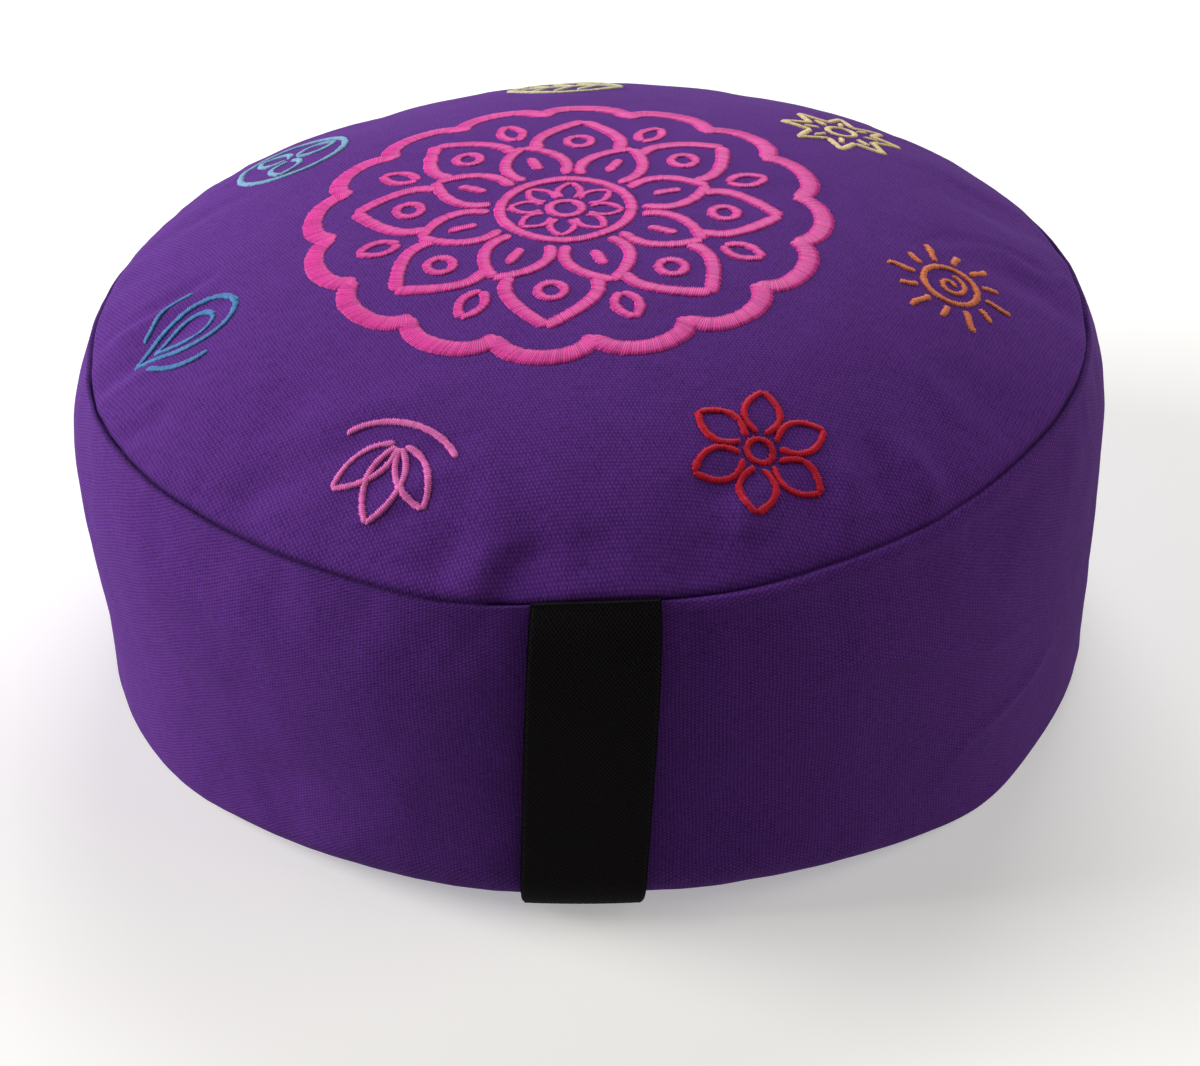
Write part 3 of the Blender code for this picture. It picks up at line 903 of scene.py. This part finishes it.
def satin_rows(line, width, closed, height_mm):
    """Flat points, heights and cloth coordinates of one column, seven to a row."""
    spaced, ahead, gone = evenly(line, closed)
    count = len(spaced)
    ridge = np.arange(count) % 2 == 0
    half = np.full(count, width / 2.0) + np.where(ridge, 0.26, -0.20)
    half += picked.normal(0.0, 0.17, count) * ridge
    tall = np.where(ridge, 1.0, 0.72) * height_mm
    if not closed:
        end = np.minimum(gone, gone[-1] - gone) / (width * 0.55)
        close = np.sqrt(np.clip(1.0 - (1.0 - np.clip(end, 0.0, 1.0)) ** 2, 0.04, 1.0))
        half, tall = half * (0.35 + 0.65 * close), tall * (0.3 + 0.7 * close)
    side = np.stack((-ahead[:, 1], ahead[:, 0]), 1) + ahead * SLANT
    flat = spaced[:, None] + side[:, None] * (half[:, None] * ACROSS)[..., None]
    lift = tall[:, None] * ARCH
    # Painted shade: valley rows get a low tone and both edges of a column are darkened; ridge rows get
    # a random tone.
    tone_and_shade = np.where(ridge, 0.45 + 0.55 * picked.random(count), 0.15)
    tone_and_shade = tone_and_shade[:, None] - 0.35 * np.abs(ACROSS) ** 5
    uv = np.stack(np.broadcast_arrays(gone[:, None], half[:, None] * ACROSS), -1)
    return flat, lift, uv, np.maximum(tone_and_shade, 0.0)


def column_faces(rows, wide, start, closed):
    """Top faces, the flat underside and, on an open column, its two ends."""
    index = start + np.arange(rows * wide).reshape(rows, wide)
    if closed:
        index = np.concatenate((index, index[:1]))
    faces = [tuple(face) for face in grid_faces(index)]
    faces += [(a[0], a[-1], b[-1], b[0]) for a, b in zip(index, index[1:])]
    if not closed:
        faces += [tuple(index[0]), tuple(index[-1][::-1])]
    return faces


def lay_on_cloth(flat, lift, origin, right, up):
    """Drop flat points on the cushion along the pattern's direction."""
    away = right.cross(up)
    laid = []
    for (x, y), rise_mm in zip(flat, lift):
        start = origin + right * (x * MM) + up * (y * MM) + away * 0.05
        hit, normal, _, _ = surface.ray_cast(start, -away)
        laid.append(hit + normal * (rise_mm * MM))
    return laid


def embroider(name, lines, origin, right, up, height_mm):
    """One piece of embroidery from a list of drawn lines."""
    points, faces, uvs, tones_and_shades = [], [], [], []
    for line, width, closed in lines:
        flat, lift, uv, tone_and_shade = satin_rows(line, width, closed, height_mm * min(1.0, 0.55 + width / 8.0))
        faces += column_faces(*flat.shape[:2], len(points), closed)
        points += lay_on_cloth(flat.reshape(-1, 2), lift.ravel(), origin, right, up)
        uvs.append(uv.reshape(-1, 2))
        tones_and_shades.append(tone_and_shade.ravel())
    piece = mesh_object(name, points, faces)
    corner = np.empty(len(piece.data.loops), np.int32)
    piece.data.loops.foreach_get("vertex_index", corner)
    stitch = piece.data.uv_layers.new(name="stitch_mm")
    stitch.data.foreach_set("uv", np.concatenate(uvs)[corner].ravel())
    # Per-point tone, with painted shade in the valleys and at the column edges.
    stitch_tone_and_shade = piece.data.attributes.new("stitch_tone_and_shade", "FLOAT", "POINT")
    stitch_tone_and_shade.data.foreach_set("value", np.concatenate(tones_and_shades))
    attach(piece, "root")
    return piece


print("one column row has", len(ACROSS), "points")

# %% [markdown]
# ## Rayon thread
# Embroidery thread is bright rayon: smooth filaments side by side, so the light runs
# along them in a streak. The shader's anisotropy does that, with the thread direction
# taken from the stitch coordinates. Each pass of the needle has a slightly different
# tone, and shade is painted into the colour of the valleys between passes and of each
# column's edges, which see less light.

# %% Make a thread in any dye


def rayon_thread(name, dark, light):
    """Bright rayon in one dye, from a darker and a lighter hex colour."""
    material, tree, shader = new_finish(name)
    tone_and_shade = add_node(tree, "ShaderNodeAttribute", {"attribute_name": "stitch_tone_and_shade"})
    place = add_node(tree, "ShaderNodeUVMap", {"uv_map": "stitch_mm"})
    strands = add_node(tree, "ShaderNodeTexNoise", {"noise_dimensions": "2D"},
                       {"Vector": place.outputs["UV"], "Scale": 3.5, "Detail": 2.0})
    mixed = add_node(tree, "ShaderNodeMath", {"operation": "MULTIPLY_ADD"},
                     {0: tone_and_shade.outputs["Fac"], 1: 0.8, 2: strands.outputs["Fac"]})
    # The colour runs from the darker hex, painted shade in the valleys, to the lighter hex on the tops
    # of the passes, which is partly painted highlight.
    colour = add_node(tree, "ShaderNodeValToRGB", (), {"Fac": mixed.outputs[0]})
    stops = colour.color_ramp.elements
    stops[0].position, stops[0].color = 0.50, linear(dark)
    stops[1].position, stops[1].color = 1.0, linear(light)
    rise = add_node(tree, "ShaderNodeBump", (),
                    {"Strength": 0.3, "Distance": 0.0001, "Height": strands.outputs["Fac"]})
    along = add_node(tree, "ShaderNodeTangent", {"direction_type": "UV_MAP", "uv_map": "stitch_mm"})
    tree.links.new(colour.outputs["Color"], shader.inputs["Base Color"])
    tree.links.new(rise.outputs["Normal"], shader.inputs["Normal"])
    tree.links.new(along.outputs["Tangent"], shader.inputs["Tangent"])
    shader.inputs["Roughness"].default_value = 0.45
    shader.inputs["Anisotropic"].default_value = 0.6
    shader.inputs["Specular IOR Level"].default_value = 0.4
    shader.inputs["Specular Tint"].default_value = linear(light)
    return material


magenta_thread = rayon_thread("magenta_rayon_thread", "90185F", "FF58BE")
print("thread finish:", magenta_thread.name)

# %% [markdown]
# ## Drawing the round ornament
# The design in the middle is drawn for this cushion from plain parts: rings, pointed
# petals and a scalloped rim, repeated eight and sixteen times. Petals are cubic curves
# from a base to a tip, and a corner always ends one column and starts another, as a
# sewing machine's operator would plan it.

# %% Draw rings, petals and curves in millimetres
TURN = 2.0 * math.pi


def ring(x, y, radius, count=48):
    """A full circle."""
    angle = np.linspace(0.0, TURN, count + 1)
    return np.stack((x + radius * np.cos(angle), y + radius * np.sin(angle)), 1)


def bend(start, leave, arrive, end, count=24):
    """A cubic Bezier curve."""
    t = np.linspace(0.0, 1.0, count + 1)[:, None]
    points = [np.array(p, float) for p in (start, leave, arrive, end)]
    weights = ((1 - t) ** 3, 3 * t * (1 - t) ** 2, 3 * t * t * (1 - t), t**3)
    return sum(w * p for w, p in zip(weights, points))


def turned(line, angle, move=(0.0, 0.0)):
    """A line turned about the middle and moved."""
    c, s = math.cos(angle), math.sin(angle)
    line = np.asarray(line, float)
    return np.stack((line[:, 0] * c - line[:, 1] * s, line[:, 0] * s + line[:, 1] * c), 1) + move


def mirrored(line):
    """The same line on the other side of the X axis."""
    return np.asarray(line, float) * (1.0, -1.0)


def petal(base, tip, half, bulge):
    """The two sides of a pointed petal on the X axis."""
    long = tip - base
    side = bend((base, half), (base + 0.30 * long, bulge * 1.15),
                (base + 0.72 * long, bulge * 0.85), (tip, 0.0))
    return [side, mirrored(side)]


print("petal side:", len(petal(20, 50, 6, 12)[0]), "points")

# %% Compose the round ornament


def ornament():
    """Lines of the round ornament: points, width, and whether it is closed."""
    lines = [(ring(0, 0, 5.6), 3.2, True), (ring(0, 0, 22.5, 72), 4.2, True)]
    for step in range(8):
        angle, between = step * TURN / 8, (step + 0.5) * TURN / 8
        for side in petal(8.4, 19.4, 2.0, 5.0):
            lines.append((turned(side, angle), 2.4, False))
        for side in petal(25.4, 51.0, 7.2, 12.4):
            lines.append((turned(side, between), 4.6, False))
        lines.append((turned([(31.5, 0.0), (36.0, 0.0), (41.5, 0.0)], between), 4.0, False))
        outer_side = bend((46.5, 13.6), (54.0, 18.5), (63.0, 12.0), (72.5, 0.0))
        for side in (outer_side, mirrored(outer_side)):
            lines.append((turned(side, angle), 5.2, False))
        lines.append((turned(ring(54.0, 0.0, 4.4, 28), angle), 3.4, True))
        for side in petal(59.0, 73.0, 0.2, 5.2):
            lines.append((turned(side, between), 3.4, False))
    half = TURN / 32
    for step in range(16):
        start = np.array((79.0 * math.cos(half), -79.0 * math.sin(half)))
        lobe = bend(start, start * (1.0, 0.95) + (13.5, 0.0),
                    start * (1.0, -0.95) + (13.5, 0.0), start * (1.0, -1.0))
        lines.append((turned(lobe, step * TURN / 16), 7.2, False))
    return lines


ornament_turn = math.radians(-5.7)
round_ornament = embroider(
    "embroidered_ornament", ornament(),
    Vector((-0.0060, -0.0085, 0.160)),
    Vector((math.cos(ornament_turn), math.sin(ornament_turn), 0.0)),
    Vector((-math.sin(ornament_turn), math.cos(ornament_turn), 0.0)), 0.60,
)
round_ornament.data.materials.append(magenta_thread)
print("ornament:", len(round_ornament.data.polygons), "faces")

# %% [markdown]
# ## Seven small motifs
# Round the ornament stand seven small motifs, one in each colour of a rainbow. They are
# plain garden and sky figures of about 45 mm, in lines 2 mm wide. Each is drawn about its
# own middle, and its X axis points to the rim of the cushion.

# %% Draw the small motifs


def flower():
    lines = [(ring(0, 0, 4.2, 24), 2.1, True)]
    for step in range(6):
        lines += [(turned(side, (step + 0.5) * TURN / 6), 2.2, False)
                  for side in petal(6.5, 22.5, 1.2, 7.2)]
    return lines


def sun():
    turn = np.linspace(0.0, 1.0, 31)
    radius = 0.8 + 5.2 * turn
    spiral = np.stack((radius * np.cos(turn * 7.85), radius * np.sin(turn * 7.85)), 1)
    lines = [(ring(0, 0, 9.8, 36), 2.2, True), (spiral, 1.8, False)]
    for step in range(12):
        reach = 22.5 if step % 2 == 0 else 19.0
        ray = bend((12.8, 0), (15.0, 1.6), (18.5, -1.6), (reach, 0), 10)
        lines.append((turned(ray, step * TURN / 12), 2.2, False))
    return lines


def star():
    lines = [(ring(0, 0, 5.2, 28), 1.9, True)]
    corners = [(r * math.cos(a), r * math.sin(a)) for r, a in
               ((22.5 if i % 2 == 0 else 12.6, i * TURN / 16) for i in range(17))]
    lines += [(np.array(pair), 2.2, False) for pair in zip(corners, corners[1:])]
    for step in range(8):
        lines.append((turned([(8.4, 0), (14.0, 0)], step * TURN / 8), 1.8, False))
    return lines


def leaf():
    lines = [(turned(side, 0.0, (-22.0, 0.0)), 2.2, False) for side in petal(0.0, 44.0, 0.2, 17.0)]
    lines.append((np.array([(-21.0, 0.0), (0.0, 0.0), (17.0, 0.0)]), 2.0, False))
    for x, reach in ((-12.0, 8.0), (-3.0, 9.0), (6.0, 7.0)):
        vein = bend((x, 0.4), (x + 3.0, 3.0), (x + 5.0, 6.0), (x + 7.0, reach), 10)
        lines += [(vein, 1.7, False), (mirrored(vein), 1.7, False)]
    return [(turned(line, TURN / 4), width, closed) for line, width, closed in lines]


def trefoil():
    lines = [(ring(0, 0, 20.8, 56), 2.1, True)]
    for step in range(3):
        lines += [(turned(side, step * TURN / 3), 2.0, False) for side in petal(2.6, 17.4, 0.9, 7.6)]
    return lines


def drop():
    lines = []
    for scale, width, tip in ((1.0, 2.2, 23.0), (0.56, 1.9, 15.0)):
        side = bend((2 - 20 * scale, 0), (2 - 18 * scale, 14.5 * scale),
                    (2 + 3 * scale, 14.5 * scale), (tip, 0), 30)
        lines += [(side, width, False), (mirrored(side), width, False)]
    ripple = bend((-4, 18.5), (4, 19.5), (11, 16.5), (17.5, 9.5), 14)
    return lines + [(ripple, 2.1, False), (mirrored(ripple), 2.1, False)]


def bud():
    lines = []
    for angle, half, tip in ((0.0, 7.6, 29.0), (0.66, 6.4, 25.5), (-0.66, 6.4, 25.5)):
        lines += [(turned(side, angle, (-10.5, 0.0)), 2.1, False)
                  for side in petal(2.0, tip, 1.0, half)]
    cup = bend((1.0, -19.0), (-9.5, -10.0), (-9.5, 10.0), (1.0, 19.0)) + (-10.5, 0.0)
    return lines + [(cup, 2.2, False)]


print("motifs:", [make.__name__ for make in (flower, sun, star, leaf, trefoil, drop, bud)])

# %% [markdown]
# The seven places are even, 51.4 degrees apart, on a circle 130 mm in radius that lies a
# little to the front, so that the hindmost shows too. Each motif lies in the plane of the
# cloth at its own middle, because the crown already slopes there.

# %% Embroider the small motifs
MOTIF_RADIUS = 0.130
MOTIF_SHIFT = Vector((-0.0056, -0.013, 0.3))
MOTIFS = (
    # figure, azimuth, material slot, the thread's darker and lighter colour
    (flower, 295.7, "thread_red", "901028", "E42C46"),
    (sun, 347.0, "thread_orange", "B04C36", "FA9466"),
    (star, 38.5, "thread_yellow", "B0956A", "FCE6AE"),
    (leaf, 90.0, "thread_cream", "9A9674", "E6E2BE"),
    (trefoil, 141.4, "thread_sky", "4E7CA4", "92BEDE"),
    (drop, 192.8, "thread_blue", "2A5A8E", "6298D2"),
    (bud, 244.2, "thread_pink", "B64A9A", "FF86D2"),
)
for draw, azimuth, slot, dark, light in MOTIFS:
    turn = math.radians(azimuth)
    outwards = Vector((math.cos(turn), math.sin(turn), 0.0))
    above = outwards * MOTIF_RADIUS + MOTIF_SHIFT
    middle, normal, _, _ = surface.ray_cast(above, Vector((0, 0, -1)))
    level = Vector((-math.sin(turn), math.cos(turn), 0.0))
    slope = level.cross(normal).normalized()
    right = slope if slope.dot(outwards) > 0 else -slope
    up = normal.cross(right).normalized()
    motif = embroider("embroidered_" + draw.__name__, draw(), middle, right, up, 0.90)
    thread = rayon_thread(slot.replace("thread_", "") + "_rayon_thread", dark, light)
    motif.data.materials.append(thread)
    print(motif.name, len(motif.data.polygons), "faces")

# %% [markdown]
# ## The studio
# A wide, pale, round floor, as for a catalogue. Its finish has a low emission, a painted
# glow that lightens the cushion's shadow on the floor, and the glow is higher far away,
# where the lights no longer reach. The floor is switched off for diffuse rays, because it
# would fill the dark front of the band with its own white: a soft, dim surround does that
# work instead, brightest near the horizon. Where the camera sees past the floor, the
# surround is plain pale paper too.

# %% Floor and surround
floor_finish, tree, shader = new_finish("pale_studio_paper")
grain = add_node(tree, "ShaderNodeTexNoise", {"noise_dimensions": "3D"}, {"Scale": 40.0, "Detail": 3.0})
colour = add_node(tree, "ShaderNodeValToRGB", (), {"Fac": grain.outputs["Fac"]})
stops = colour.color_ramp.elements
stops[0].color, stops[1].color = linear("E6E6E5"), linear("ECECEB")
tree.links.new(colour.outputs["Color"], shader.inputs["Base Color"])
shader.inputs["Roughness"].default_value = 0.9
shader.inputs["Specular IOR Level"].default_value = 0.1
# Painted light: a low glow lightens the cushion's shadow on the floor and keeps the far floor white.
shader.inputs["Emission Color"].default_value = (1.0, 1.0, 1.0, 1.0)
spot = add_node(tree, "ShaderNodeTexCoord")
away = add_node(tree, "ShaderNodeVectorMath", {"operation": "LENGTH"}, {0: spot.outputs["Object"]})
glow = add_node(tree, "ShaderNodeMapRange", {"interpolation_type": "SMOOTHSTEP"},
                {"Value": away.outputs["Value"], "From Min": 1.5, "From Max": 4.5,
                 "To Min": 0.35, "To Max": 0.62})
tree.links.new(glow.outputs["Result"], shader.inputs["Emission Strength"])
FLOOR_RADIUS = 14.0
floor = mesh_object("studio_floor", at_height(ring_degrees, FLOOR_RADIUS, 0.0), [range(ROUND)])
floor.data.materials.append(floor_finish)
floor.visible_diffuse = False
world = bpy.data.worlds.new("dim_surround")
bpy.context.scene.world = world
world.use_nodes = True
tree = world.node_tree
way = add_node(tree, "ShaderNodeTexCoord")
axes = add_node(tree, "ShaderNodeSeparateXYZ", (), {0: way.outputs["Generated"]})
level = add_node(tree, "ShaderNodeMapRange", (),
                 {"Value": axes.outputs["Z"], "From Min": -1.0, "From Max": 1.0})
glow = add_node(tree, "ShaderNodeValToRGB", (), {"Fac": level.outputs["Result"]})
stops = glow.color_ramp.elements
stops[0].position, stops[0].color = 0.0, (0.19, 0.185, 0.17, 1.0)
stops[1].position, stops[1].color = 0.56, (0.02, 0.02, 0.02, 1.0)
middle = stops.new(0.45)
middle.color = (0.76, 0.74, 0.69, 1.0)
fade = add_node(tree, "ShaderNodeMath", {"operation": "MULTIPLY_ADD"},
                {0: axes.outputs["Y"], 1: 0.42, 2: 0.88})
seen = add_node(tree, "ShaderNodeLightPath")
light = add_node(tree, "ShaderNodeVectorMath", {"operation": "SCALE"},
                 {0: glow.outputs["Color"], "Scale": fade.outputs[0]})
either = add_node(tree, "ShaderNodeMix", {"data_type": "RGBA"},
                  {"Factor": seen.outputs["Is Camera Ray"], 7: (0.84, 0.84, 0.83, 1.0),
                   6: light.outputs[0]})
tree.links.new(either.outputs[2], tree.nodes["Background"].inputs["Color"])
print("floor laid, surround set")

# %% [markdown]
# The lights are three big soft panels, 2.6 m away. The strongest stands low at the left,
# as a window would, and weaker ones stand higher at the back and at the right. The front
# is left dark, as behind a photographer.

# %% Lights


PANEL_DISTANCE = 2.6


def panel_light(name, azimuth, elevation, size, watts, colour=(1.0, 1.0, 1.0)):
    """A square soft light 2.6 m away that looks at the cushion."""
    data = bpy.data.lights.new(name, "AREA")
    data.size, data.energy, data.color = size, watts, colour
    lamp = bpy.data.objects.new(name, data)
    bpy.context.scene.collection.objects.link(lamp)
    turn, lift = math.radians(azimuth), math.radians(elevation)
    way = Vector((math.cos(turn) * math.cos(lift), math.sin(turn) * math.cos(lift), math.sin(lift)))
    place = Vector((0.0, 0.0, 0.08)) + way * PANEL_DISTANCE
    lamp.matrix_world = Matrix.Translation(place) @ (-way).to_track_quat("-Z", "Y").to_matrix().to_4x4()
    return lamp


panel_light("left_window", 174, 22, 1.5, 77.0, (1.0, 0.96, 0.94))
panel_light("back_panel", 80, 42, 1.5, 38.0)
panel_light("right_panel", 352, 33, 2.0, 23.0, (1.0, 0.96, 0.84))
bpy.context.scene.view_settings.view_transform = "Standard"
print("lights set")

# %% Update the scene and finish
bpy.context.view_layer.update()
